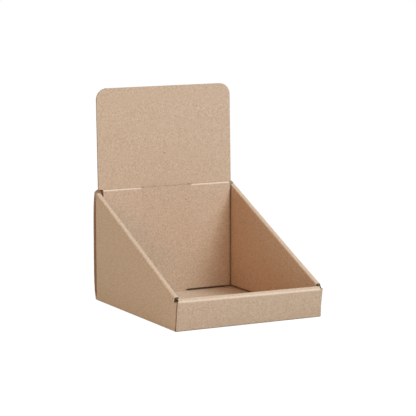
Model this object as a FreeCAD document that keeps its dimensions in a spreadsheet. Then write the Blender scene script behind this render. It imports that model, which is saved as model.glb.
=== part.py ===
import FreeCAD, Part
import math
import os
import Sketcher

# A small counter display stand of kraft corrugated board: an open tray folded from one die-cut sheet,
# with a low front, slanted sides and a tall back, and a header card plugged into the back wall.
# Frame: origin under the middle of the tray, X to the right, Y to the back, Z up, millimetres.

SIZES = [
    ("tray_width", 150.0, "outside of one side wall to the other"),
    ("tray_depth", 172.0, "outside of the front wall to the back wall, at the table"),
    ("board", 1.4, "thickness of the corrugated board"),
    ("wall", 5.0, "rolled wall, from its outer face to its inner face"),
    ("layer_clear", 0.15, "play between layers of board that lie on each other"),
    ("front_height", 27.0, "outer crease of the front wall above the table"),
    ("front_rise", 2.7, "how much the front strip climbs from its outer to its inner crease"),
    ("front_lean", 2.2, "how far the front wall leans out at its outer crease"),
    ("front_taper", 0.9, "how much each end of the front panel narrows towards its top"),
    ("panel_inset", 0.6, "side face of the tray to the end of the front and back panels"),
    ("front_roll_inset", 2.3, "side face of the tray to the end of the front wall's rolled part"),
    ("back_height", 106.6, "top of the back wall above the table"),
    ("back_bow", 3.5, "how far the back panel bows out at half its height"),
    ("back_corner", 2.0, "cut across the top corners of the back panel"),
    ("back_roll_gap", 1.9, "side wall's inner face to the end of the back wall's rolled part, before its shift"),
    ("back_roll_shift", 0.9, "rolled part of the back wall, off centre to the right"),
    ("side_front_rise", 2.9, "front wall's outer crease up to the side walls' front end"),
    ("side_back_drop", 1.8, "top of the back wall down to the side walls' back end"),
    ("fold_round", 1.6, "outer radius of a fold along a wall's top"),
    ("base_round", 1.2, "outer radius of a fold along the floor"),
    ("flap_round", 1.3, "outer radius of the fold between a side wall and its corner flap"),
    ("floor_gap", 2.0, "open gap from the floor up to the edge of an inner panel"),
    ("tab_width", 43.0, "tab of an inner panel that plugs into the floor"),
    ("tab_clear", 0.2, "play around a tab in its floor slot"),
    ("tab_short", 0.2, "underside of the floor to the end of a tab"),
    ("flap_length", 38.0, "corner flap, from the side wall's outer face to its end"),
    ("front_flap_drop", 0.5, "front wall's outer crease down to a front flap's top and the notch above it"),
    ("back_flap_drop", 9.0, "top of the back wall down to the top of a back flap"),
    ("card_inset", 3.5, "how much narrower the header card is on each side than the tray"),
    ("card_top", 203.4, "top of the header card above the table"),
    ("card_lean", 1.7, "backward lean of the header card, in degrees"),
    ("card_corner", 11.0, "radius of the header card's top corners"),
    ("card_seat", 0.2, "play between the header card's shoulders and the back wall's top"),
    ("tongue_width", 46.0, "tongue of the header card"),
    ("tongue_depth", 18.0, "tongue of the header card, from the shoulders down"),
    ("tongue_corner", 4.0, "radius of the tongue's lower corners"),
    ("tongue_clear", 1.2, "left end of the slot to the tongue in it"),
    ("slot_play", 5.9, "how much longer the slot in the back wall is than the tongue"),
]

doc = FreeCAD.newDocument("display_stand")
dims = doc.addObject("Spreadsheet::Sheet", "dims")
for row, (alias, value, note) in enumerate(SIZES, start=1):
    dims.set(f"A{row}", alias)
    dims.set(f"B{row}", str(value))
    dims.set(f"C{row}", note)
    dims.setAlias(f"B{row}", alias)
doc.recompute()

# Places that several pieces share, as expressions on the sheet.
LEFT = "(-dims.tray_width / 2)"
FRONT = "(-dims.tray_depth / 2)"
BACK = "(dims.tray_depth / 2)"
LEAN = "(dims.front_lean / dims.front_height)"
FLAP_FACE = "(dims.board + dims.layer_clear)"
FLAP_BACK = "(2 * dims.board + dims.layer_clear)"
BEHIND_FLAP = "(2 * dims.board + 2 * dims.layer_clear)"
SIDE_FRONT = "(dims.front_height + dims.side_front_rise)"
SIDE_BACK = "(dims.back_height - dims.side_back_drop)"
SLANT = f"(({SIDE_BACK} - {SIDE_FRONT}) / (dims.tray_depth - {FLAP_FACE}))"
PANEL_FOOT = "(dims.board + dims.floor_gap)"
FRONT_RIM = "(dims.front_height + dims.front_rise)"
BEHIND_FRONT = "(dims.wall + dims.layer_clear)"
FRONT_FLAP_TOP = "(dims.front_height - dims.front_flap_drop)"
SIDE_END = f"({BACK} - {FLAP_BACK})"
SLOT_WIDTH = "(dims.tongue_width + dims.slot_play)"
SLOT_START = f"(dims.back_roll_shift - {SLOT_WIDTH} / 2)"
TAB_START = "(dims.back_roll_shift - dims.tab_width / 2)"


def number(expression):
    """The value of an expression on the sheet."""
    return float(dims.evalExpression(expression))


def lean_y(inward, height):
    """Y of a point of the leaning front wall, inward of its outer face."""
    return f"({FRONT} + ({inward}) - {LEAN} * ({height}))"


def slant_z(y):
    """Height of a side wall's slanted top at y."""
    return f"({SIDE_FRONT} + (({y}) - {FRONT}) * {SLANT})"


def slant_meets_lean(inward):
    """Height at which the slanted top meets the leaning line inward of the front face."""
    return f"(({SIDE_FRONT} + ({inward}) * {SLANT}) / (1 + {LEAN} * {SLANT}))"


def origin_plane(body, role):
    """One of the body's own origin planes."""
    return next(item for item in body.Origin.OriginFeatures if item.Role == role)


def profile(body, name, plane, offset, corners, radii=None):
    """A closed sketch. corners are pairs of expressions, and radii gives the arcs by their first corner."""
    radii = radii or {}
    sketch = body.newObject("Sketcher::SketchObject", name)
    sketch.AttachmentSupport = [(origin_plane(body, plane), "")]
    sketch.MapMode = "FlatFace"
    sketch.setExpression("AttachmentOffset.Base.z", offset)
    places = [FreeCAD.Vector(number(across), number(up), 0) for across, up in corners]
    for index, start in enumerate(places):
        end = places[(index + 1) % len(places)]
        if index in radii:
            sketch.addGeometry(bowed_arc(start, end, number(radii[index])), False)
        else:
            sketch.addGeometry(Part.LineSegment(start, end), False)
    for index, (across, up) in enumerate(corners):
        before = (index - 1) % len(corners)
        here = end_at(sketch, index, places[index])
        there = end_at(sketch, before, places[index])
        sketch.addConstraint(Sketcher.Constraint("Coincident", before, there, index, here))
        for kind, axis, value in (("DistanceX", "x", across), ("DistanceY", "y", up)):
            size = number(value)
            made = sketch.addConstraint(Sketcher.Constraint(kind, -1, 1, index, here, size))
            sketch.renameConstraint(made, f"{axis}{index}")
            sketch.setExpression(f"Constraints.{axis}{index}", value)
    for index, radius in radii.items():
        made = sketch.addConstraint(Sketcher.Constraint("Radius", index, number(radius)))
        sketch.renameConstraint(made, f"radius{index}")
        sketch.setExpression(f"Constraints.radius{index}", radius)
    return sketch


def bowed_arc(start, end, radius):
    """An arc between two places of which one is above the other, bulging to the right."""
    low, high = sorted((start, end), key=lambda place: place.y)
    sag = radius - math.sqrt(radius ** 2 - ((high - low).Length / 2) ** 2)
    return Part.Arc(low, (low + high) * 0.5 + FreeCAD.Vector(sag, 0, 0), high)


def end_at(sketch, index, place):
    """Which end of a sketch line or arc lies at a place: 1 for its start, 2 for its end."""
    line = sketch.Geometry[index]
    return 1 if (line.StartPoint - place).Length < (line.EndPoint - place).Length else 2


def settle(feature):
    """Computes a new feature, and stops if it or its sketch failed."""
    doc.recompute()
    for item in [feature] + feature.OutList:
        if "Invalid" in item.State or "Error" in item.State:
            raise RuntimeError(f"{item.Name} failed: {item.getStatusString()}")
    return feature


def slab(body, name, start, length, corners, radii=None):
    """Adds a prism along X: its section in Y and Z, from start, length long."""
    sketch = profile(body, f"{name}_section", "YZ_Plane", start, corners, radii)
    pad = body.newObject("PartDesign::Pad", name)
    pad.Profile = sketch
    pad.setExpression("Length", length)
    return settle(pad)


def cutout(body, name, start, length, corners):
    """Removes a prism along X: its section in Y and Z, from start, length long."""
    before = body.Shape.Volume
    sketch = profile(body, f"{name}_section", "YZ_Plane", start, corners)
    pocket = body.newObject("PartDesign::Pocket", name)
    pocket.Profile = sketch
    pocket.Reversed = True
    pocket.setExpression("Length", length)
    settle(pocket)
    if body.Shape.Volume >= before:
        raise RuntimeError(f"{name} cuts nothing")
    return pocket


def box(low_y, high_y, low_z, high_z):
    """Corners of a rectangle in Y and Z."""
    return [(low_y, low_z), (high_y, low_z), (high_y, high_z), (low_y, high_z)]


def edge_names(shape, places):
    """Names of the straight edges that pass through the given places."""
    names = []
    for place in places:
        point = FreeCAD.Vector(*[number(value) for value in place])
        spot = Part.Vertex(point)
        gaps = [edge.distToShape(spot)[0] for edge in shape.Edges]
        nearest = gaps.index(min(gaps))
        if gaps[nearest] > 0.01:
            raise RuntimeError(f"no edge at {place}")
        names.append(f"Edge{nearest + 1}")
    return names


def fillet(body, name, radius, places):
    """Rounds the edges at the given places."""
    base = body.Tip
    feature = body.newObject("PartDesign::Fillet", name)
    feature.Base = (base, edge_names(base.Shape, places))
    feature.setExpression("Radius", radius)
    return settle(feature)


def build_floor(tray):
    """The floor with relieved corners, and the four slots that the inner panels' tabs plug into."""
    side, inner_side = f"(-{LEFT})", f"(-{LEFT} - dims.base_round - dims.layer_clear)"
    end, inner_end = BACK, f"({BACK} - {FLAP_FACE})"
    quarter = [(side, inner_end), (inner_side, inner_end), (inner_side, end)]
    corners = quarter + [(f"(-{x})", y) for x, y in reversed(quarter)]
    corners += [(f"(-{x})", f"(-{y})") for x, y in quarter]
    corners += [(x, f"(-{y})") for x, y in reversed(quarter)]
    sketch = profile(tray, "floor_outline", "XY_Plane", "0", corners)
    pad = tray.newObject("PartDesign::Pad", "floor")
    pad.Profile = sketch
    pad.setExpression("Length", "dims.board")
    settle(pad)
    across = "(dims.board + 2 * dims.tab_clear)"
    along = "(dims.tab_width + 2 * dims.tab_clear)"
    below, above = "(-dims.board)", "(2 * dims.board)"
    front_slot = lean_y("dims.wall - dims.board - dims.tab_clear", "0")
    back_slot = f"({BACK} - dims.wall - dims.tab_clear)"
    cutout(tray, "front_tab_slot", f"(-{along} / 2)", along,
           box(front_slot, f"({front_slot} + {across})", below, above))
    cutout(tray, "back_tab_slot", f"({TAB_START} - dims.tab_clear)", along,
           box(back_slot, f"({back_slot} + {across})", below, above))
    inset = "(dims.wall - dims.board - dims.tab_clear)"
    for name, start in (("left", f"({LEFT} + {inset})"), ("right", f"(-{LEFT} - {inset} - {across})")):
        cutout(tray, f"{name}_tab_slot", start, across, box(f"(-{along} / 2)", f"({along} / 2)", below, above))


def build_front_panel(tray):
    """The low outer panel at the front, which leans out and narrows towards its top."""
    start = f"({LEFT} + dims.panel_inset)"
    rim = "(dims.front_height + dims.board * dims.front_rise / dims.wall)"
    corners = [(lean_y("0", "0"), "0"), (lean_y("0", "dims.front_height"), "dims.front_height"),
               (lean_y("dims.board", rim), rim), (lean_y("dims.board", "0"), "0")]
    slab(tray, "front_panel", start, f"(-2 * {start})", corners)
    before = tray.Shape.Volume
    narrow = f"({start} + dims.front_taper)"
    above = "(dims.front_height + dims.wall)"
    ahead = "(dims.tray_depth / 2 + dims.front_lean + dims.board)"
    for name, turn in (("left", ""), ("right", "-")):
        outside = f"({turn}({start} - dims.board))"
        wedge = [(f"({turn}{start})", "dims.board"), (f"({turn}{narrow})", above),
                 (outside, above), (outside, "dims.board")]
        sketch = profile(tray, f"{name}_taper_outline", "XZ_Plane", ahead, wedge)
        pocket = tray.newObject("PartDesign::Pocket", f"{name}_taper")
        pocket.Profile = sketch
        pocket.setExpression("Length", "(dims.front_lean + 3 * dims.board)")
        settle(pocket)
    if tray.Shape.Volume >= before:
        raise RuntimeError("the front panel's taper cuts nothing")


def build_back_panel(tray):
    """The tall outer panel at the back, bowed outwards, with its top corners cut across."""
    bow_radius = "((dims.back_height ^ 2 / 4 + dims.back_bow ^ 2) / (2 * dims.back_bow))"
    inner = f"({BACK} - dims.board)"
    start = f"({LEFT} + dims.panel_inset)"
    corners = [(BACK, "0"), (BACK, "dims.back_height"), (inner, "dims.back_height"), (inner, "0")]
    slab(tray, "back_panel", start, f"(-2 * {start})", corners, {0: bow_radius, 2: bow_radius})
    middle = f"({BACK} - dims.board / 2)"
    base = tray.Tip
    chamfer = tray.newObject("PartDesign::Chamfer", "back_corners")
    places = [(start, middle, "dims.back_height"), (f"(-{start})", middle, "dims.back_height")]
    chamfer.Base = (base, edge_names(base.Shape, places))
    chamfer.setExpression("Size", "dims.back_corner")
    settle(chamfer)


def build_side_panels(tray):
    """The two outer side panels with slanted tops, notched where the end of the front wall's strip goes."""
    rim = slant_meets_lean(BEHIND_FRONT)
    corners = [(lean_y(FLAP_BACK, "0"), "0"), (SIDE_END, "0"), (SIDE_END, slant_z(SIDE_END)),
               (lean_y(BEHIND_FRONT, rim), rim), (lean_y(BEHIND_FRONT, FRONT_FLAP_TOP), FRONT_FLAP_TOP),
               (lean_y(FLAP_BACK, FRONT_FLAP_TOP), FRONT_FLAP_TOP)]
    for name, start in (("left", LEFT), ("right", f"(-{LEFT} - dims.board)")):
        slab(tray, f"{name}_panel", start, "dims.board", corners)


def round_floor_folds(tray):
    """Rounds the four folds between the floor and the outer panels."""
    places = [("0", FRONT, "0"), ("0", BACK, "0"), (LEFT, "0", "0"), (f"(-{LEFT})", "0", "0")]
    fillet(tray, "floor_folds", "dims.base_round", places)


def build_front_roll(tray):
    """The strip along the top of the front wall and the inner panel that hangs from it."""
    start = f"({LEFT} + dims.front_roll_inset)"
    under = "(dims.front_height - dims.board)"
    inner_under = f"({FRONT_RIM} - dims.board)"
    face, back_face = "dims.wall", "(dims.wall - dims.board)"
    corners = [(lean_y("0", "dims.front_height"), "dims.front_height"), (lean_y(face, FRONT_RIM), FRONT_RIM),
               (lean_y(face, PANEL_FOOT), PANEL_FOOT), (lean_y(back_face, PANEL_FOOT), PANEL_FOOT),
               (lean_y(back_face, inner_under), inner_under), (lean_y("0", under), under)]
    slab(tray, "front_roll", start, f"(-2 * {start})", corners)
    tab = [(lean_y(back_face, "0"), "dims.tab_short"), (lean_y(face, "0"), "dims.tab_short"),
           (lean_y(face, PANEL_FOOT), PANEL_FOOT), (lean_y(back_face, PANEL_FOOT), PANEL_FOOT)]
    slab(tray, "front_tab", "(-dims.tab_width / 2)", "dims.tab_width", tab)


def build_back_roll(tray):
    """The ledge along the top of the back wall and the inner panel that hangs from it."""
    width = "(dims.tray_width - 2 * dims.wall - 2 * dims.back_roll_gap)"
    face = f"({BACK} - dims.wall)"
    back_face = f"({face} + dims.board)"
    under = "(dims.back_height - dims.board)"
    corners = [(BACK, "dims.back_height"), (face, "dims.back_height"), (face, PANEL_FOOT),
               (back_face, PANEL_FOOT), (back_face, under), (BACK, under)]
    slab(tray, "back_roll", f"(dims.back_roll_shift - {width} / 2)", width, corners)
    slab(tray, "back_tab", TAB_START, "dims.tab_width", box(face, back_face, "dims.tab_short", PANEL_FOOT))


def build_side_rolls(tray):
    """The slanted strips along the tops of the side walls and the inner panels that hang from them."""
    under = f"(dims.board * sqrt(1 + {SLANT} ^ 2))"
    rim = slant_meets_lean(BEHIND_FRONT)
    panel_end = f"({BACK} - {BEHIND_FLAP})"
    half_tab = "(dims.tab_width / 2)"
    strip = [(lean_y(BEHIND_FRONT, rim), rim), (SIDE_END, slant_z(SIDE_END)),
             (SIDE_END, f"({slant_z(SIDE_END)} - {under})"), (lean_y(BEHIND_FRONT, rim), f"({rim} - {under})")]
    panel = [(lean_y(BEHIND_FRONT, PANEL_FOOT), PANEL_FOOT), (f"(-{half_tab})", PANEL_FOOT),
             (f"(-{half_tab})", "dims.tab_short"), (half_tab, "dims.tab_short"), (half_tab, PANEL_FOOT),
             (panel_end, PANEL_FOOT), (panel_end, slant_z(panel_end)), (lean_y(BEHIND_FRONT, rim), rim)]
    for name, edge, inner in (("left", LEFT, f"({LEFT} + dims.wall - dims.board)"),
                              ("right", f"(-{LEFT} - dims.wall)", f"(-{LEFT} - dims.wall)")):
        slab(tray, f"{name}_strip", edge, "dims.wall", strip)
        slab(tray, f"{name}_inner_panel", inner, "dims.board", panel)


def round_top_folds(tray):
    """Rounds both folds along the top of each wall."""
    crease = ("0", lean_y("0", "dims.front_height"), "dims.front_height")
    rim = ("0", lean_y("dims.wall", FRONT_RIM), FRONT_RIM)
    ledge = [("0", BACK, "dims.back_height"), ("0", f"({BACK} - dims.wall)", "dims.back_height")]
    fillet(tray, "front_folds", "dims.fold_round", [crease, rim])
    fillet(tray, "back_folds", "dims.fold_round", ledge)
    sides = [LEFT, f"({LEFT} + dims.wall)", f"(-{LEFT} - dims.wall)", f"(-{LEFT})"]
    fillet(tray, "side_folds", "dims.fold_round", [(x, "0", slant_z("0")) for x in sides])


def build_card_slot(tray):
    """The slot in the ledge, beside which the inner panel ends in a straight cut edge."""
    face = f"({BACK} - dims.wall)"
    back_face = f"({face} + dims.board)"
    top, under = "dims.back_height", "(dims.back_height - 2 * dims.fold_round)"
    slab(tray, "slot_lip", SLOT_START, SLOT_WIDTH, box(face, back_face, under, top))
    cutout(tray, "card_slot", SLOT_START, SLOT_WIDTH,
           box(back_face, f"({BACK} - dims.board)", under, f"({top} + dims.board)"))


def build_corner_flaps(tray):
    """The flaps of the side walls, folded round the corners and tucked into the front and back walls."""
    foot = FLAP_FACE
    back_top = "(dims.back_height - dims.back_flap_drop)"
    front = [(lean_y(FLAP_FACE, foot), foot), (lean_y(FLAP_BACK, foot), foot),
             (lean_y(FLAP_BACK, FRONT_FLAP_TOP), FRONT_FLAP_TOP),
             (lean_y(FLAP_FACE, FRONT_FLAP_TOP), FRONT_FLAP_TOP)]
    back = box(SIDE_END, f"({BACK} - {FLAP_FACE})", foot, back_top)
    folds = []
    for name, start, edge in (("left", LEFT, LEFT), ("right", f"(-{LEFT} - dims.flap_length)", f"(-{LEFT})")):
        slab(tray, f"{name}_front_flap", start, "dims.flap_length", front)
        slab(tray, f"{name}_back_flap", start, "dims.flap_length", back)
        middle = f"({FRONT_FLAP_TOP} / 2)"
        folds += [(edge, lean_y(FLAP_FACE, middle), middle), (edge, f"({BACK} - {FLAP_FACE})", middle)]
    fillet(tray, "flap_folds", "dims.flap_round", folds)


def build_tray():
    """The tray, one folded sheet."""
    tray = doc.addObject("PartDesign::Body", "tray")
    build_floor(tray)
    build_front_panel(tray)
    build_back_panel(tray)
    build_side_panels(tray)
    round_floor_folds(tray)
    build_front_roll(tray)
    build_back_roll(tray)
    build_side_rolls(tray)
    round_top_folds(tray)
    build_card_slot(tray)
    build_corner_flaps(tray)
    return tray


def build_header_card():
    """The header card: a flat card whose shoulders rest on the ledge and whose tongue is in the slot."""
    card = doc.addObject("PartDesign::Body", "header_card")
    rise = "((dims.card_top - dims.back_height - dims.card_seat) / cos(dims.card_lean * 1 deg))"
    half, tongue = "(dims.tray_width / 2 - dims.card_inset)", "(dims.tongue_width / 2)"
    foot = "(-dims.tongue_depth)"
    corners = [(f"(-{half})", "0"), (f"(-{tongue})", "0"), (f"(-{tongue})", foot), (tongue, foot),
               (tongue, "0"), (half, "0"), (half, rise), (f"(-{half})", rise)]
    sketch = profile(card, "card_outline", "XZ_Plane", "(-dims.board / 2)", corners)
    pad = card.newObject("PartDesign::Pad", "card")
    pad.Profile = sketch
    pad.setExpression("Length", "dims.board")
    settle(pad)
    fillet(card, "top_corners", "dims.card_corner", [(f"(-{half})", "0", rise), (half, "0", rise)])
    fillet(card, "tongue_corners", "dims.tongue_corner", [(f"(-{tongue})", "0", foot), (tongue, "0", foot)])
    slot_middle = f"({BACK} - dims.wall / 2)"
    card.Placement.Rotation = FreeCAD.Rotation(FreeCAD.Vector(-1, 0, 0), 1)
    card.setExpression("Placement.Rotation.Angle", "dims.card_lean * 1 deg")
    card.setExpression("Placement.Base.x", f"{SLOT_START} + dims.tongue_clear + dims.tongue_width / 2")
    card.setExpression("Placement.Base.y", f"{slot_middle} + dims.tongue_depth / 2 * tan(dims.card_lean * 1 deg)")
    card.setExpression("Placement.Base.z", "dims.back_height + dims.card_seat")
    return card


def write_parts(pieces):
    """Checks every object, then writes each piece to its own file."""
    doc.recompute()
    for item in doc.Objects:
        if "Invalid" in item.State or "Error" in item.State:
            raise RuntimeError(f"{item.Name} failed: {item.State}")
    os.makedirs("parts", exist_ok=True)
    for name, piece in pieces.items():
        piece.Label = name
        if piece.Shape.isNull() or not piece.Shape.isValid() or len(piece.Shape.Solids) != 1:
            raise RuntimeError(f"{name} isn't one sound solid")
    for name, piece in pieces.items():
        piece.Shape.exportStep(f"parts/{name}.step")
        size = piece.Shape.BoundBox
        print(name, "volume", round(piece.Shape.Volume), "size", round(size.XLength, 2),
              round(size.YLength, 2), round(size.ZLength, 2))


write_parts({"tray": build_tray(), "header_card": build_header_card()})
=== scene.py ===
"""A small counter display stand of kraft corrugated board, with its studio.

The tray is modelled as the one sheet that it is: a floor whose edges are pulled up into outer panels,
over narrow strips and down again into inner panels. The header card is a second flat sheet.
All lengths are in metres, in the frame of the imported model.
"""

import math

import bmesh
import bpy
from mathutils import Matrix, Vector


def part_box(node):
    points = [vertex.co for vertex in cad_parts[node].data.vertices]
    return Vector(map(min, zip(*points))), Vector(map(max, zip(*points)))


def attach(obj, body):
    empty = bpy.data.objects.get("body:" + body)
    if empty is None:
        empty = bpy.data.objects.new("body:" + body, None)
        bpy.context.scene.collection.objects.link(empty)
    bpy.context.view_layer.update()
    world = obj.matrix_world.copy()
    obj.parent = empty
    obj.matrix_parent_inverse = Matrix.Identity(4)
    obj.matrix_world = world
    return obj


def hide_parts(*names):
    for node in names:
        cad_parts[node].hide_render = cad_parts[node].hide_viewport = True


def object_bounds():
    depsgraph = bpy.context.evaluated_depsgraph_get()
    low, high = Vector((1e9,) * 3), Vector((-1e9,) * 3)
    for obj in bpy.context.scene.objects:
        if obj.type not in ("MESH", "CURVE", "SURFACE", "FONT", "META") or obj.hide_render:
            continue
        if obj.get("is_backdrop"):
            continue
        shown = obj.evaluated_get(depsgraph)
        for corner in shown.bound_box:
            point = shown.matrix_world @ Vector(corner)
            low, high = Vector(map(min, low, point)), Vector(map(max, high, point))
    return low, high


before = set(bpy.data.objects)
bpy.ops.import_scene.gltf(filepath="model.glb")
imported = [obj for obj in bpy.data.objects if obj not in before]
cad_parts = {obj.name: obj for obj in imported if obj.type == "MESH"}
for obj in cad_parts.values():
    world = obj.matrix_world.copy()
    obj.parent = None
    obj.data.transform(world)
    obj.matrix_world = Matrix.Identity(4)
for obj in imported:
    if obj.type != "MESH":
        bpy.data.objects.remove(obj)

bl_info = {
    "name": "Counter display stand",
    "version": (1, 0, 0),
    "blender": (4, 5, 0),
    "location": "View3D > Sidebar > Display stand",
    "description": "Folds a corrugated counter tray with its header card and sets up a white studio",
    "category": "Add Mesh",
}

MM = 0.001
NEAR = 0.02 * MM
FLUTE_PITCH = 3.4 * MM
SMOOTH_ANGLE = math.radians(35)
GROUND_SIZE = 12.0
SOFT_BOX_SIZE = 1.1
SOFT_BOX_AIM = (0, 0, 0.08)

# Name, place, colour and power in watts of each lamp.
SOFT_BOXES = (
    ("key_soft_box", (1.08, -1.08, 1.9), (0.66, 0.79, 1.0), 46.5),
    ("front_soft_box", (0.44, -1.55, 1.7), (0.82, 0.98, 1.0), 24.5),
    ("left_back_soft_box", (-1.9, 0.95, 0.45), (0.83, 1.0, 0.97), 16.0),
    ("left_front_soft_box", (-1.6, -1.2, 0.9), (1.0, 0.53, 0.32), 12.0),
)

TRAY_LOW, TRAY_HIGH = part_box("tray")
CARD_LOW, CARD_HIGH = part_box("header_card")


def length(name, description, default):
    """A length property in metres."""
    return bpy.props.FloatProperty(
        name=name, description=description, default=default, unit="LENGTH", precision=5
    )


def tone(name, description, default):
    """A colour property, written as an sRGB hex value."""
    return bpy.props.StringProperty(name=name, description=description, default=default)


class StandSizes(bpy.types.PropertyGroup):
    """Sizes of the folded sheet and of the header card."""

    width: length("Width", "Tray, from side to side", TRAY_HIGH.x - TRAY_LOW.x)
    depth: length("Depth", "Tray, from front to back at the table", 172.0 * MM)
    back_height: length("Back height", "Top of the back wall", TRAY_HIGH.z)
    front_height: length("Front height", "Outer crease of the front wall", 27.0 * MM)
    front_rise: length("Front rise", "Climb of the front strip to its inner crease", 2.7 * MM)
    front_lean: length("Front lean", "Outward lean of the front wall at its crease", 2.2 * MM)
    front_taper: length("Front taper", "Narrowing of each end of the front panel", 0.9 * MM)
    side_front: length("Side height at the front", "Side wall at the front face", 29.9 * MM)
    side_back: length("Side height at the back", "Side wall at its back end", 104.8 * MM)
    side_short: length("Side end", "Back panel's inner face to the back end of a side strip", 2.3 * MM)
    side_flare: length("Side flare", "Right wall's front corner, pushed out by its tucked flap", 1.8 * MM)
    flare_reach: length("Flare reach", "Front face to where the right wall is straight", 60.0 * MM)
    board: length("Board", "Thickness of the corrugated board", 1.4 * MM)
    wall: length("Wall", "Rolled wall, outer face to inner face", 5.0 * MM)
    play: length("Play", "Play between layers of board", 0.15 * MM)
    front_end: length("Front panel end", "Side face to the end of the front panel", 0.4 * MM)
    back_end: length("Back panel end", "Side face to the end of the back panel", 0.1 * MM)
    front_inset: length("Front roll inset", "Side face to the end of the front strip", 2.5 * MM)
    front_shift: length("Front roll shift", "Front strip, off centre to the right", 0.6 * MM)
    back_inset: length("Back roll inset", "Side face to the end of the back ledge", 6.9 * MM)
    back_shift: length("Back roll shift", "Back ledge, off centre to the right", 0.1 * MM)
    back_bow: length("Back bow", "Outward bow of the back panel", 3.6 * MM)
    back_corner: length("Back corner", "Cut across the back panel's top corners", 2.0 * MM)
    fold: length("Fold radius", "Outer radius of the folds along the tops", 1.6 * MM)
    floor_fold: length("Floor fold radius", "Outer radius of the folds at the floor and the flaps", 1.5 * MM)
    floor_gap: length("Floor gap", "Gap under the inner panels", 2.0 * MM)
    tab_width: length("Tab width", "Tabs that plug into the floor", 40.4 * MM)
    tab_play: length("Tab play", "Play around a tab in its slot", 0.2 * MM)
    tab_lift: length("Tab lift", "Table to the lower edge of a tab", 0.2 * MM)
    flap: length("Corner flap", "Length of the corner flaps", 38.0 * MM)
    flap_foot: length("Flap foot", "Table to the lower edge of a corner flap", 4.5 * MM)
    front_flap_drop: length("Front flap drop", "Front crease down to a front flap's top", 0.5 * MM)
    crease_slope: length("Crease slope", "Front wall's top, up at its left end, down at its right", 0.5 * MM)
    back_flap_drop: length("Back flap drop", "Back wall's top down to a back flap's top", 9.0 * MM)
    slot_width: length("Slot width", "Slot for the header card", 53.8 * MM)
    slot_shift: length("Slot shift", "Slot, off centre to the right", -0.7 * MM)
    slot_relief: length("Slot relief", "Width of the relief cut at each end of the slot", 0.3 * MM)
    card_lean: bpy.props.FloatProperty(
        name="Card lean", description="Backward lean of the header card",
        default=math.radians(1.7), subtype="ANGLE",
    )
    card_gap: length("Card gap", "Ledge to the header card's shoulders", 0.2 * MM)
    card_corner: length("Card corner", "Radius of the header card's top corners", 11.0 * MM)
    tongue_width: length("Tongue width", "Tongue of the header card", 46.0 * MM)
    tongue_depth: length("Tongue depth", "Tongue of the header card below its shoulders", 18.0 * MM)
    tongue_corner: length("Tongue corner", "Radius of the tongue's lower corners", 4.0 * MM)


class StandColours(bpy.types.PropertyGroup):
    """Colours of the board and of the studio."""

    kraft: tone("Kraft", "Kraft liner", "#d3b89c")
    kraft_dark: tone("Dark kraft", "Darker fibres in the liner", "#b6977b")
    # Crease colour: partly whitening of the liner over a fold, partly a painted highlight along the fold's
    # crown.
    crease: tone("Crease", "Liner stretched over a fold", "#ecd8c2")
    fleck: tone("Fleck", "Bark flecks in the liner", "#8f7355")
    flute: tone("Flute", "Fluted core at a cut edge", "#a98c6e")
    flute_gap_shade: tone("Hollow", "Shadow between the flutes", "#3a2a1e")
    ground: tone("Ground", "Studio floor", "#bdbbb8")


class Stand:
    """The sizes in use, with the places that follow from them."""

    def __init__(self, sizes):
        self.s = sizes
        self.left = -sizes.width / 2
        self.front = -sizes.depth / 2
        self.back = sizes.depth / 2
        self.lean = sizes.front_lean / sizes.front_height
        self.flap_face = sizes.board + sizes.play
        self.slope = (sizes.side_back - sizes.side_front) / (sizes.depth - self.flap_face)
        self.foot = sizes.board + sizes.floor_gap
        self.rim = sizes.front_height + sizes.front_rise
        self.front_top = sizes.front_height - sizes.front_flap_drop
        self.back_top = sizes.back_height - sizes.back_flap_drop
        self.side_end = self.back - sizes.board - sizes.side_short

    def lean_y(self, inward, height):
        """Y of the leaning front wall, inward of its outer face."""
        return self.front + inward - self.lean * height

    def slant_z(self, y):
        """Height of a side wall's slanted top."""
        return self.s.side_front + (y - self.front) * self.slope

    def slant_meets_lean(self, inward):
        """Height at which the slanted top meets the leaning line inward of the front face."""
        return (self.s.side_front + inward * self.slope) / (1 + self.lean * self.slope)


def near(value, target):
    """Whether two lengths are the same place."""
    return abs(value - target) < NEAR


def start_plane(name, low, high):
    """Adds a plane from low to high and goes into edit mode."""
    bpy.ops.object.select_all(action="DESELECT")
    middle = (low + high) / 2
    bpy.ops.mesh.primitive_plane_add(size=1, location=middle, calc_uvs=False)
    piece = bpy.context.object
    piece.name = name
    piece.data.name = name
    piece.scale = (high.x - low.x, high.y - low.y, 1)
    bpy.ops.object.transform_apply(location=True, rotation=True, scale=True)
    bpy.ops.object.mode_set(mode="EDIT")
    bpy.ops.mesh.select_mode(type="VERT")
    return piece


def pick(test, kind="edges"):
    """Selects the edges, faces or vertices of which every corner passes the test."""
    bpy.ops.mesh.select_all(action="DESELECT")
    modes = {"verts": "VERT", "edges": "EDGE", "faces": "FACE"}
    bpy.ops.mesh.select_mode(type=modes[kind])
    mesh = bpy.context.object.data
    shape = bmesh.from_edit_mesh(mesh)
    found = 0
    for item in getattr(shape, kind):
        corners = [item] if kind == "verts" else item.verts
        if all(test(corner.co) for corner in corners):
            item.select_set(True)
            found += 1
    shape.select_flush_mode()
    bmesh.update_edit_mesh(mesh)
    if not found:
        raise RuntimeError(f"no {kind} there")


def pull(x=0.0, y=0.0, z=0.0):
    """Extrudes the selected edges by a distance."""
    bpy.ops.mesh.extrude_region_move(TRANSFORM_OT_translate={"value": (x, y, z)})


def shift(x=0.0, y=0.0, z=0.0):
    """Moves what is selected."""
    bpy.ops.transform.translate(value=(x, y, z))


def cut(test, point, normal):
    """Cuts the faces that pass the test along a plane."""
    pick(test, "faces")
    bpy.ops.mesh.bisect(plane_co=point, plane_no=normal)


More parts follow.
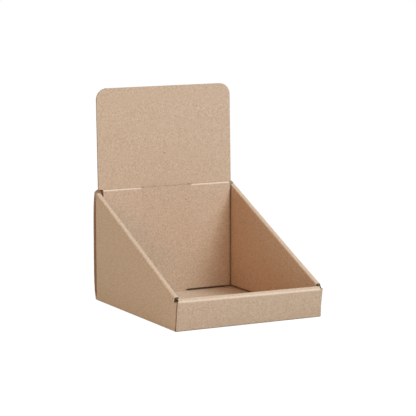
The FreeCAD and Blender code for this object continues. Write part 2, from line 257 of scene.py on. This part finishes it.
def fold(radius, test, stretch_and_highlight=0.0):
    """Rounds the picked fold lines. The last argument goes into the crease attribute, most along the middle:
    partly whitening of the liner where the fold stretches it, partly a painted highlight along the fold's
    crown.
    """
    segments = 6
    pick(test)
    bpy.ops.mesh.bevel(offset=radius, segments=segments, affect="EDGES", clamp_overlap=False)
    mesh = bpy.context.object.data
    shape = bmesh.from_edit_mesh(mesh)
    mark = shape.verts.layers.float["crease"]
    inside = [v for v in shape.verts if v.select and all(face.select for face in v.link_faces)]
    rows = {v: 0 for v in shape.verts if v.select and v not in inside}
    step = 1
    while inside and step <= segments:
        reached = [v for v in inside if any(edge.other_vert(v) in rows for edge in v.link_edges)]
        rows.update((v, step) for v in reached)
        inside = [v for v in inside if v not in rows]
        step += 1
    for corner, row in rows.items():
        corner[mark] = max(corner[mark], min(1.0, stretch_and_highlight * 2 * row / segments))
    bmesh.update_edit_mesh(mesh)


def apply_modifier(piece, name, kind, **settings):
    """Adds a modifier with its settings and applies it."""
    modifier = piece.modifiers.new(name, kind)
    for key, value in settings.items():
        setattr(modifier, key, value)
    bpy.context.view_layer.objects.active = piece
    bpy.ops.object.modifier_apply(modifier=name)


def fold_floor(stand):
    """The left half of the floor with its margins and tab slots."""
    s = stand.s
    margin = s.fold + s.play
    inner = stand.left + margin
    end = stand.back - stand.flap_face
    tray = start_plane("folded_tray", Vector((inner, -end, 0)), Vector((0, end, 0)))
    tray.data.attributes.new("crease", "FLOAT", "POINT")
    pick(lambda p: near(p.x, inner))
    pull(x=-margin)
    slot_start = s.wall - s.board - s.tab_play
    slot_end = s.wall + s.tab_play
    half = s.tab_width / 2 + s.tab_play
    flat = lambda p: p.z < NEAR
    for x in (stand.left + slot_start, stand.left + slot_end, -half):
        cut(flat, (x, 0, 0), (1, 0, 0))
    outer_y, inner_y = stand.front + slot_start, stand.front + slot_end
    for y in (outer_y, inner_y, -half, half, -inner_y, -outer_y):
        cut(flat, (0, y, 0), (0, 1, 0))
    across_slot = lambda inward: slot_start - NEAR < inward < slot_end + NEAR
    side = lambda p: across_slot(p.x - stand.left) and abs(p.y) < half + NEAR
    ends = lambda p: across_slot(stand.back - abs(p.y)) and p.x > -half - NEAR
    for hole in (side, ends):
        pick(hole, "faces")
        bpy.ops.mesh.delete(type="FACE")
    return tray


def fold_side(stand):
    """The left wall: outer panel, corner flaps, slanted strip and inner panel."""
    s = stand.s
    left, end = stand.left, stand.back - stand.flap_face
    corner_z = stand.slant_meets_lean(stand.flap_face)
    corner_y = stand.lean_y(stand.flap_face, corner_z)
    pick(lambda p: near(p.x, left))
    pull(z=corner_z)
    pick(lambda p: near(p.x, left) and near(p.z, corner_z) and near(p.y, -end), "verts")
    shift(y=corner_y + end)
    raise_to_slant(stand, lambda p: near(p.x, left) and near(p.z, corner_z), corner_z)
    outer = lambda p: near(p.x, left)
    foot, front_top, back_top = s.flap_foot, stand.front_top, stand.back_top
    for z in (foot, front_top, back_top):
        cut(outer, (0, 0, z), (0, 0, 1))
    strip_start = s.wall + s.play
    cut(outer, (0, stand.lean_y(strip_start, 0), 0), (0, 1, stand.lean))
    cut(outer, (0, stand.side_end, 0), (0, 1, 0))
    notch = lambda p: p.z > front_top - NEAR and p.y < stand.lean_y(strip_start, p.z) + NEAR
    beyond = lambda p: p.z > back_top - NEAR and p.y > stand.side_end - NEAR
    for corner in (notch, beyond):
        pick(lambda p: outer(p) and corner(p), "faces")
        bpy.ops.mesh.delete(type="FACE")
    on_slant = lambda p: near(p.z, stand.slant_z(p.y)) and p.y > stand.lean_y(strip_start, p.z) - NEAR
    pick(lambda p: outer(p) and on_slant(p))
    pull(x=s.wall)
    inner = left + s.wall
    pick(lambda p: near(p.x, inner) and on_slant(p))
    pull(z=-s.fold)
    bpy.ops.transform.resize(value=(1, 1, 0), center_override=(0, 0, stand.foot))
    front_foot = lambda p: near(p.z, stand.foot) and p.y < stand.lean_y(strip_start, stand.foot)
    pick(lambda p: near(p.x, inner) and front_foot(p), "verts")
    rim = stand.slant_meets_lean(strip_start)
    shift(y=stand.lean_y(strip_start, stand.foot) - stand.lean_y(strip_start, rim))
    half = s.tab_width / 2
    for y in (-half, half):
        cut(lambda p: near(p.x, inner) and p.z > stand.foot - NEAR, (0, y, 0), (0, 1, 0))
    pick(lambda p: near(p.x, inner) and near(p.z, stand.foot) and abs(p.y) < half + NEAR)
    pull(z=s.tab_lift - stand.foot)
    for fits in (
        lambda p: near(p.y, stand.lean_y(stand.flap_face, p.z)) and foot - NEAR < p.z < front_top + NEAR,
        lambda p: near(p.y, end) and foot - NEAR < p.z < back_top + NEAR,
    ):
        pick(lambda p: outer(p) and fits(p))
        pull(x=s.flap)


def raise_to_slant(stand, test, height):
    """Moves each picked corner from one height up to the slanted line."""
    shape = bmesh.from_edit_mesh(bpy.context.object.data)
    rows = sorted({round(v.co.y, 7) for v in shape.verts if test(v.co)})
    for y in rows:
        pick(lambda p: test(p) and near(p.y, y), "verts")
        shift(z=stand.slant_z(y) - height)


def hang_tab(stand, panel, top, step=0.0):
    """Cuts an inner panel beside its tab, up to its top, and pulls the tab out of its lower edge."""
    s = stand.s
    half = s.tab_width / 2
    cut(lambda p: panel(p) and p.z < top + NEAR, (-half, 0, 0), (1, 0, 0))
    pick(lambda p: panel(p) and near(p.z, stand.foot) and p.x > -half - NEAR)
    pull(y=step, z=s.tab_lift - stand.foot)


def fold_front(stand):
    """The left half of the front wall: leaning outer panel, strip, inner panel and tab."""
    s = stand.s
    end = stand.back - stand.flap_face
    margin = s.fold + s.play
    inner = stand.left + margin
    pick(lambda p: near(p.y, -end) and near(p.z, 0) and p.x > inner - NEAR)
    pull(y=-stand.flap_face)
    pick(lambda p: near(p.y, stand.front) and near(p.x, inner), "verts")
    shift(x=s.front_end - margin)
    pick(lambda p: near(p.y, stand.front))
    pull(y=-s.front_lean, z=s.front_height)
    crease = lambda p: near(p.z, s.front_height) and near(p.y, stand.front - s.front_lean)
    pick(lambda p: crease(p) and near(p.x, stand.left + s.front_end), "verts")
    shift(x=s.front_taper)
    start = stand.left + s.front_inset
    outer = lambda p: near(p.y, stand.lean_y(0, p.z))
    cut(outer, (start, 0, 0), (1, 0, 0))
    pick(lambda p: crease(p) and p.x > start - NEAR)
    pull(y=stand.lean_y(s.wall, stand.rim) - stand.lean_y(0, s.front_height), z=s.front_rise)
    pull(y=stand.lean * (stand.rim - stand.foot), z=stand.foot - stand.rim)
    face = lambda p: near(p.y, stand.lean_y(s.wall, p.z))
    hang_tab(stand, face, stand.rim, stand.lean * (stand.foot - s.tab_lift))


def fold_back(stand):
    """The left half of the back wall: outer panel, ledge, inner panel and tab, with the card's slot."""
    s = stand.s
    end = stand.back - stand.flap_face
    margin = s.fold + s.play
    inner = stand.left + margin
    pick(lambda p: near(p.y, end) and near(p.z, 0) and p.x > inner - NEAR)
    pull(y=stand.flap_face)
    pick(lambda p: near(p.y, stand.back) and near(p.x, inner), "verts")
    shift(x=s.back_end - margin)
    pick(lambda p: near(p.y, stand.back))
    pull(z=s.back_height)
    outer = lambda p: near(p.y, stand.back)
    start = stand.left + s.back_inset
    slot_end = -s.slot_width / 2
    for x in (start, slot_end, slot_end + s.slot_relief):
        cut(outer, (x, 0, 0), (1, 0, 0))
    top = lambda p: near(p.z, s.back_height)
    pick(lambda p: outer(p) and top(p) and start - NEAR < p.x < slot_end + NEAR)
    pull(y=-s.wall)
    pull(z=stand.foot - s.back_height)
    face = lambda p: near(p.y, stand.back - s.wall)
    pick(lambda p: face(p) and near(p.x, slot_end))
    pull(x=s.slot_relief)
    pull(x=-slot_end - s.slot_relief)
    hang_tab(stand, face, s.back_height)
    pick(lambda p: outer(p) and top(p) and near(p.x, stand.left + s.back_end), "verts")
    bpy.ops.mesh.bevel(offset=s.back_corner, segments=1, affect="VERTICES")


def mirror_halves(tray):
    """Mirrors the left half to the right."""
    bpy.ops.object.mode_set(mode="OBJECT")
    apply_modifier(tray, "halves", "MIRROR", use_axis=(True, False, False), merge_threshold=NEAR / 2)
    bpy.ops.object.mode_set(mode="EDIT")


def shift_back_roll(stand):
    """Slides the ledge and its inner panel sideways, and the slot's ends by their own amount."""
    s = stand.s
    end = -stand.left - s.back_inset
    slot = lambda p: -NEAR < s.slot_width / 2 - abs(p.x) < s.slot_relief + NEAR
    ledge = lambda p: near(p.z, s.back_height) and p.y > stand.back - s.wall - NEAR
    panel = lambda p: near(p.y, stand.back - s.wall) and p.z > NEAR
    rolled = lambda p: abs(p.x) < end + NEAR and (ledge(p) or panel(p))
    pick(lambda p: rolled(p) and not slot(p), "verts")
    shift(x=s.back_shift)
    pick(lambda p: rolled(p) and slot(p), "verts")
    shift(x=s.slot_shift)


def shift_front_roll(stand):
    """Slides the front strip and its inner panel sideways."""
    s = stand.s
    end = -stand.left - s.front_inset
    start = lambda p: near(p.y, stand.lean_y(0, p.z)) and near(abs(p.x), end)
    inner = lambda p: near(p.y, stand.lean_y(s.wall, p.z)) and p.z < stand.rim + NEAR
    pick(lambda p: start(p) or (abs(p.x) < end + NEAR and inner(p)), "verts")
    shift(x=s.front_shift)


def round_folds(stand):
    """Rounds every fold of the tray. The crease attribute, partly whitening of the liner and partly a
    painted highlight, is strongest along the ledge and the front crease.
    """
    s = stand.s
    side = -stand.left
    slant = lambda p: near(p.z, stand.slant_z(p.y))
    floor = lambda p: near(p.z, 0) and (near(abs(p.x), side) or near(abs(p.y), stand.back))
    crease = lambda p: near(p.z, s.front_height) and near(p.y, stand.lean_y(0, p.z))
    ledge_side = side - s.back_inset + NEAR
    strip_side = side - s.front_inset + NEAR
    beside_slot = lambda p: abs(p.x - s.slot_shift) > s.slot_width / 2 - NEAR
    on_ledge = lambda p: near(p.z, s.back_height) and beside_slot(p) and abs(p.x - s.back_shift) < ledge_side
    corner = lambda p: near(abs(p.x), side) and p.z > s.flap_foot - NEAR
    front = lambda p: near(p.y, stand.lean_y(stand.flap_face, p.z)) and p.z < stand.front_top + NEAR
    back = lambda p: near(p.y, stand.back - stand.flap_face) and p.z < stand.back_top + NEAR
    fold(s.floor_fold, floor)
    fold(s.fold, lambda p: slant(p) and near(abs(p.x), side) and p.y > stand.lean_y(s.wall, p.z))
    fold(s.fold, lambda p: slant(p) and near(abs(p.x), side - s.wall))
    # Each weight lightens its fold towards the crease colour: partly whitening of the liner, partly a
    # painted highlight.
    fold(s.fold, lambda p: crease(p) and abs(p.x - s.front_shift) < strip_side, stretch_and_highlight=0.6)
    fold(s.fold, lambda p: near(p.z, stand.rim) and near(p.y, stand.lean_y(s.wall, p.z)), stretch_and_highlight=0.3)
    fold(s.fold, lambda p: on_ledge(p) and near(p.y, stand.back))
    fold(s.fold, lambda p: on_ledge(p) and near(p.y, stand.back - s.wall), stretch_and_highlight=0.9)
    fold(s.floor_fold, lambda p: corner(p) and front(p), stretch_and_highlight=0.2)
    fold(s.floor_fold, lambda p: corner(p) and back(p), stretch_and_highlight=0.2)


def push(test, amount):
    """Moves every picked vertex by its own amount."""
    shape = bmesh.from_edit_mesh(bpy.context.object.data)
    places = [v.co.copy() for v in shape.verts if test(v.co)]
    for place in places:
        step = amount(place)
        if step.length > NEAR:
            pick(lambda p: (p - place).length < NEAR / 4, "verts")
            shift(*step)


def bow_back(stand):
    """Bows the back panel outwards, by nearly the full amount over the middle half of its height."""
    s = stand.s
    rows = 12
    steepness = 5
    panel = lambda p: near(p.y, stand.back)
    for row in range(1, rows):
        cut(panel, (0, 0, s.back_height * row / rows), (0, 0, 1))
    rise = lambda z: 1 - abs(2 * z / s.back_height - 1) ** steepness
    push(lambda p: panel(p) and p.z > s.floor_fold, lambda p: Vector((0, s.back_bow * rise(p.z), 0)))


def flare_corner(stand):
    """Pushes the right wall's front corner outwards, where its flap is tucked into the front wall."""
    s = stand.s
    side = -stand.left
    wall = lambda p: p.x > side - s.wall - NEAR
    inside_flap = lambda p: p.y > stand.lean_y(stand.flap_face, p.z) - NEAR
    parts = (0.12, 0.3, 0.55, 0.8, 1.0)
    climb_power = 0.6
    beyond_share = 0.35
    for part in parts:
        cut(wall, (0, stand.front + s.flare_reach * part, 0), (0, 1, 0))

    def amount(p):
        """Grows towards the front end and the flap's top, less above the flap and on the inner layer."""
        along = max(0.0, 1 - (p.y - stand.front) / s.flare_reach)
        up = min(1.0, p.z / stand.front_top) ** climb_power
        beyond_flap = p.z > stand.front_top + s.play or p.x < side - s.fold
        share = beyond_share if beyond_flap else 1.0
        return Vector((s.side_flare * along**2 * up * share, 0, 0))

    push(lambda p: wall(p) and p.z > s.floor_fold and inside_flap(p), amount)


def tilt_front(stand):
    """Raises the left end of the front wall's top and lowers its right end."""
    s = stand.s
    top = lambda p: p.z > stand.front_top - s.fold and p.y < stand.lean_y(s.wall, p.z) + NEAR
    between = lambda p: abs(p.x) < -stand.left - s.front_end
    push(lambda p: top(p) and between(p), lambda p: Vector((0, 0, s.crease_slope * p.x / stand.left)))


def give_thickness(piece, board, up, flank):
    """Gives the sheet its board, inwards of the liner, with the cut edges in the second material.

    The cut edges get a UV layout: u counts flutes along the edge, v runs from the outer liner to the inner
    one. The flutes run along the axis up, so an edge that follows them keeps to one place on a flute, flank.
    """
    bpy.ops.mesh.select_all(action="SELECT")
    bpy.ops.mesh.normals_make_consistent(inside=False)
    bpy.ops.object.mode_set(mode="OBJECT")
    mesh = piece.data
    count = len(mesh.vertices)
    apply_modifier(
        piece, "board", "SOLIDIFY", thickness=board, offset=-1, use_even_offset=True,
        use_rim=True, material_offset_rim=1,
    )
    layout = mesh.uv_layers.new(name="cut_edge")
    for face in mesh.polygons:
        places = [mesh.vertices[corner % count].co for corner in face.vertices]
        reach = [max(p[axis] for p in places) - min(p[axis] for p in places) for axis in range(3)]
        follows = reach[up] > sum(reach) / 2
        for loop in face.loop_indices:
            corner = mesh.loops[loop].vertex_index
            place = mesh.vertices[corner % count].co
            run = (sum(place) - place[up]) / FLUTE_PITCH
            layout.data[loop].uv = (flank if follows else run, corner // count)


class FoldTray(bpy.types.Operator):
    """Folds the tray from one sheet"""

    bl_idname = "display_stand.fold_tray"
    bl_label = "Fold the tray"

    def execute(self, context):
        stand = Stand(context.scene.stand_sizes)
        tray = fold_floor(stand)
        fold_side(stand)
        fold_front(stand)
        fold_back(stand)
        mirror_halves(tray)
        shift_back_roll(stand)
        shift_front_roll(stand)
        round_folds(stand)
        bow_back(stand)
        flare_corner(stand)
        tilt_front(stand)
        give_materials(tray, context.scene.stand_colours)
        # With this flank the core lies against the outer liner, so the tray's upright cut edges show mostly
        # painted shade in the wide gap behind the core.
        give_thickness(tray, stand.s.board, up=2, flank=0.75)
        bpy.ops.object.shade_smooth_by_angle(angle=SMOOTH_ANGLE)
        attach(tray, "root")
        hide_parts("tray")
        return {"FINISHED"}


class CutHeaderCard(bpy.types.Operator):
    """Cuts the header card and stands it in its slot"""

    bl_idname = "display_stand.cut_header_card"
    bl_label = "Cut the header card"

    def execute(self, context):
        s = context.scene.stand_sizes
        width = CARD_HIGH.x - CARD_LOW.x
        middle_x = (CARD_HIGH.x + CARD_LOW.x) / 2
        rise = CARD_HIGH.z - s.board / 2 * math.sin(s.card_lean) - s.back_height - s.card_gap
        tall = rise / math.cos(s.card_lean)
        half, tongue = width / 2, s.tongue_width / 2
        card = start_plane("header_board", Vector((-half, 0, 0)), Vector((half, tall, 0)))
        card.data.attributes.new("crease", "FLOAT", "POINT")
        for x in (-tongue, tongue):
            cut(lambda p: True, (x, 0, 0), (1, 0, 0))
        pick(lambda p: near(p.y, 0) and abs(p.x) < tongue + NEAR)
        pull(y=-s.tongue_depth)
        pick(lambda p: near(p.y, tall) and near(abs(p.x), half), "verts")
        bpy.ops.mesh.bevel(offset=s.card_corner, segments=14, affect="VERTICES")
        pick(lambda p: near(p.y, -s.tongue_depth), "verts")
        bpy.ops.mesh.bevel(offset=s.tongue_corner, segments=8, affect="VERTICES")
        give_materials(card, context.scene.stand_colours)
        give_thickness(card, s.board, up=1, flank=0.0)
        place_card(card, s, middle_x)
        bpy.ops.object.shade_smooth_by_angle(angle=SMOOTH_ANGLE)
        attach(card, "root")
        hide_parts("header_card")
        return {"FINISHED"}


def place_card(card, s, middle_x):
    """Stands the flat card up in its slot, leaning back."""
    slot_y = s.depth / 2 - s.wall / 2 + s.tongue_depth / 2 * math.tan(s.card_lean)
    centre = Matrix.Translation((0, 0, s.board / 2))
    upright = Matrix.Rotation(math.pi / 2 - s.card_lean, 4, "X")
    seat = Matrix.Translation((middle_x, slot_y, s.back_height + s.card_gap))
    card.matrix_world = seat @ upright @ centre
    bpy.context.view_layer.update()
    bpy.ops.object.select_all(action="DESELECT")
    card.select_set(True)
    bpy.context.view_layer.objects.active = card
    bpy.ops.object.transform_apply(location=True, rotation=True, scale=True)


def linear(code):
    """Linear RGBA of an sRGB hex value."""
    parts = [int(code[i : i + 2], 16) / 255 for i in (1, 3, 5)]
    return tuple(c / 12.92 if c <= 0.04045 else ((c + 0.055) / 1.055) ** 2.4 for c in parts) + (1.0,)


def node(tree, kind, links=None, **settings):
    """Adds a node with its settings and its linked or plain inputs."""
    made = tree.nodes.new(kind)
    for key, value in settings.items():
        setattr(made, key, value)
    for socket, value in (links or {}).items():
        if isinstance(value, bpy.types.NodeSocket):
            tree.links.new(value, made.inputs[socket])
        else:
            made.inputs[socket].default_value = value
    return made


def maths(tree, operation, *values, clamp=False):
    """Adds a maths node and returns its output."""
    links = dict(enumerate(values))
    return node(tree, "ShaderNodeMath", links, operation=operation, use_clamp=clamp).outputs[0]


def blend(tree, share, first, second):
    """Mixes two colours by a share of the second one and returns the colour."""
    return node(tree, "ShaderNodeMix", {0: share, 6: first, 7: second}, data_type="RGBA").outputs[2]


def map_range(tree, value, low, high, start=0.0, end=1.0, ease="LINEAR"):
    """Maps a value from low and high to start and end and returns it."""
    links = {"Value": value, "From Min": low, "From Max": high, "To Min": start, "To Max": end}
    return node(tree, "ShaderNodeMapRange", links, interpolation_type=ease).outputs[0]


def noise(tree, place, grain, detail=2.0):
    """Adds a noise of one grain size, in metres, and returns its value."""
    links = {"Vector": place, "Scale": 1 / grain, "Detail": detail, "Roughness": 0.6}
    return node(tree, "ShaderNodeTexNoise", links).outputs["Fac"]


def direct_rays(tree):
    """1 for rays that the camera sees, straight, mirrored or through clear matter, and 0 for the rest."""
    rays = node(tree, "ShaderNodeLightPath").outputs
    seen = maths(tree, "ADD", rays["Is Camera Ray"], rays["Is Glossy Ray"])
    return maths(tree, "ADD", seen, rays["Is Transmission Ray"], clamp=True)


def new_material(name):
    """An empty material with its node tree and output."""
    material = bpy.data.materials.new(name)
    material.use_nodes = True
    tree = material.node_tree
    tree.nodes.clear()
    return material, tree, tree.nodes.new("ShaderNodeOutputMaterial")


def kraft_liner(colours):
    """Kraft linerboard, machine-made and uncoated: matt, finely mottled, with a few dark flecks."""
    material, tree, output = new_material("kraft_liner_uncoated")
    place = node(tree, "ShaderNodeTexCoord").outputs["Object"]
    cloud, fibre = 2.2 * MM, 0.8 * MM
    fibre_weight = 3.0
    grain = maths(tree, "MULTIPLY_ADD", noise(tree, place, fibre), fibre_weight, noise(tree, place, cloud))
    # The grain runs from 0 to 4. Outside these two values the liner keeps its darkest or lightest tone.
    dark, light = 1.5, 2.5
    spread = map_range(tree, grain, dark, light)
    ground = blend(tree, spread, linear(colours.kraft_dark), linear(colours.kraft))
    fleck_gap, fleck = 16.0 * MM, 0.45 * MM
    spots = node(tree, "ShaderNodeTexVoronoi", {"Vector": place, "Scale": 1 / fleck_gap}).outputs["Distance"]
    near_spot = map_range(tree, spots, fleck / fleck_gap, 2 * fleck / fleck_gap, start=0.8, end=0.0)
    flecked = blend(tree, near_spot, ground, linear(colours.fleck))
    # The crease attribute lightens the liner towards the crease colour along the folds: partly whitening of
    # the liner, partly a painted highlight along each fold's crown.
    stretched_and_highlit = node(tree, "ShaderNodeAttribute", attribute_name="crease").outputs["Fac"]
    full_stretch_and_highlight = 0.8
    whitened_and_highlit = maths(tree, "MULTIPLY", stretched_and_highlit, full_stretch_and_highlight)
    colour = blend(tree, whitened_and_highlit, flecked, linear(colours.crease))
    relief = node(tree, "ShaderNodeBump", {"Height": grain, "Strength": 0.25, "Distance": 0.12 * MM})
    shader = node(
        tree, "ShaderNodeBsdfPrincipled",
        {"Base Color": colour, "Roughness": 0.85, "Specular IOR Level": 0.25, "Normal": relief.outputs[0]},
    )
    tree.links.new(shader.outputs[0], output.inputs["Surface"])
    return material


def fluted_edge(colours):
    """Die-cut edge of single-wall corrugated board: two liners with the wavy core between them.

    The flutes run upwards, so an upright edge shows the core's flank and the other edges show its wave.
    """
    material, tree, output = new_material("corrugated_cut_edge")
    place = node(tree, "ShaderNodeTexCoord").outputs
    # Shares of the board's thickness: half the core, a liner, and the soft edge of a liner.
    core, liner, liner_blur = 0.07, 0.13, 0.04
    split = node(tree, "ShaderNodeSeparateXYZ", {0: place["UV"]}).outputs
    wave = maths(tree, "SINE", maths(tree, "MULTIPLY", split["X"], 2 * math.pi))
    line = maths(tree, "MULTIPLY_ADD", wave, 0.5 - liner, 0.5)
    off_line = maths(tree, "ABSOLUTE", maths(tree, "SUBTRACT", split["Y"], line))
    off_middle = maths(tree, "ABSOLUTE", maths(tree, "SUBTRACT", split["Y"], 0.5))
    on_core = map_range(tree, off_line, core, 2 * core, start=1.0, end=0.0, ease="SMOOTHSTEP")
    on_liner = map_range(tree, off_middle, 0.5 - liner - liner_blur, 0.5 - liner)
    solid = maths(tree, "MAXIMUM", on_core, on_liner)
    pulp_grain = noise(tree, place["Object"], 1.2 * MM, detail=3.0)
    pulp = blend(tree, pulp_grain, linear(colours.flute), linear(colours.kraft))
    # The gaps between the core and the liners take the hollow colour, which is painted shade.
    colour = blend(tree, solid, linear(colours.flute_gap_shade), pulp)
    sunk = node(tree, "ShaderNodeBump", {"Height": solid, "Strength": 0.6, "Distance": 0.2 * MM})
    shader = node(
        tree, "ShaderNodeBsdfPrincipled",
        {"Base Color": colour, "Roughness": 0.9, "Specular IOR Level": 0.2, "Normal": sunk.outputs[0]},
    )
    tree.links.new(shader.outputs[0], output.inputs["Surface"])
    return material


def give_materials(piece, colours):
    """Gives a sheet its liner, and its cut edges their own material."""
    names = {"kraft_liner_uncoated": kraft_liner, "corrugated_cut_edge": fluted_edge}
    for name, make in names.items():
        piece.data.materials.append(bpy.data.materials.get(name) or make(colours))


def white_ground(colours):
    """Matt studio paper that shows white to the camera and keeps a soft contact shadow."""
    material, tree, output = new_material("white_studio_paper")
    # The rest shows the lit paper, and with it the contact shadow.
    white_share = 0.88
    share = maths(tree, "MULTIPLY", direct_rays(tree), white_share)
    paper = node(tree, "ShaderNodeBsdfDiffuse", {"Color": linear(colours.ground)})
    white = node(tree, "ShaderNodeEmission", {"Strength": 1.12})
    mixed = node(tree, "ShaderNodeMixShader", {0: share, 1: paper.outputs[0], 2: white.outputs[0]})
    tree.links.new(mixed.outputs[0], output.inputs["Surface"])
    return material


def white_world():
    """Even white surroundings: full white to the camera, softer and a little warm on the stand."""
    world = bpy.data.worlds.new("white_surroundings")
    world.use_nodes = True
    bpy.context.scene.world = world
    tree = world.node_tree
    tree.nodes.clear()
    output = tree.nodes.new("ShaderNodeOutputWorld")
    soft = node(tree, "ShaderNodeBackground", {"Color": (1, 0.95, 0.88, 1), "Strength": 0.2})
    white = node(tree, "ShaderNodeBackground", {"Color": (1, 1, 1, 1), "Strength": 1.0})
    links = {0: direct_rays(tree), 1: soft.outputs[0], 2: white.outputs[0]}
    mixed = node(tree, "ShaderNodeMixShader", links)
    tree.links.new(mixed.outputs[0], output.inputs["Surface"])


def add_soft_box(name, place, colour, power):
    """Adds a square lamp that faces the stand."""
    bpy.ops.object.light_add(type="AREA", location=place)
    lamp = bpy.context.object
    lamp.name = name
    lamp.data.name = name
    lamp.data.shape = "SQUARE"
    lamp.data.size = SOFT_BOX_SIZE
    lamp.data.color = colour
    lamp.data.energy = power
    lamp.rotation_euler = (Vector(SOFT_BOX_AIM) - Vector(place)).to_track_quat("-Z", "Y").to_euler()


class SetStage(bpy.types.Operator):
    """Sets up the floor, the light and the camera"""

    bl_idname = "display_stand.set_stage"
    bl_label = "Set the stage"

    def execute(self, context):
        bpy.ops.object.select_all(action="DESELECT")
        bpy.ops.mesh.primitive_plane_add(size=GROUND_SIZE, location=(0, 0, 0))
        ground = context.object
        ground.name = "ground"
        ground.data.materials.append(white_ground(context.scene.stand_colours))
        ground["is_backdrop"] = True
        white_world()
        for soft_box in SOFT_BOXES:
            add_soft_box(*soft_box)
        azimuth, elevation, roll = math.radians(27.39), math.radians(8.37), math.radians(-0.08)
        place = Vector((-871.3, -1686.0, 374.6)) * MM
        turn = Matrix.Rotation(-azimuth, 3, "Z") @ Matrix.Rotation(math.pi / 2 - elevation, 3, "X")
        turn = turn @ Matrix.Rotation(roll, 3, "Z")
        bpy.ops.object.camera_add(location=place, rotation=turn.to_euler())
        camera = context.object
        camera.name = "photo_view"
        camera.data.sensor_width = 36.0
        camera.data.lens = 177.55
        camera.data.clip_start = 0.05
        context.scene.camera = camera
        context.scene.view_settings.view_transform = "Standard"
        return {"FINISHED"}


class StandPanel(bpy.types.Panel):
    """Lists the steps of the display stand"""

    bl_idname = "VIEW3D_PT_display_stand"
    bl_label = "Display stand"
    bl_space_type = "VIEW_3D"
    bl_region_type = "UI"
    bl_category = "Display stand"

    def draw(self, context):
        for step in STEPS:
            self.layout.operator(step.bl_idname)
        for group in (context.scene.stand_sizes, context.scene.stand_colours):
            box = self.layout.box()
            for name in group.__annotations__:
                box.prop(group, name)


STEPS = (FoldTray, CutHeaderCard, SetStage)
CLASSES = (StandSizes, StandColours, *STEPS, StandPanel)


def register():
    """Registers the classes and hangs the settings on the scene."""
    for item in CLASSES:
        bpy.utils.register_class(item)
    bpy.types.Scene.stand_sizes = bpy.props.PointerProperty(type=StandSizes)
    bpy.types.Scene.stand_colours = bpy.props.PointerProperty(type=StandColours)


def unregister():
    """Takes the settings and the classes away again."""
    del bpy.types.Scene.stand_colours
    del bpy.types.Scene.stand_sizes
    for item in reversed(CLASSES):
        bpy.utils.unregister_class(item)


def main():
    register()
    cad_box = [list(corner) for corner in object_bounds()]
    bpy.ops.display_stand.fold_tray()
    bpy.ops.display_stand.cut_header_card()
    bpy.ops.display_stand.set_stage()
    visual_box = [list(corner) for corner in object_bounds()]


if __name__ == "__main__":
    main()
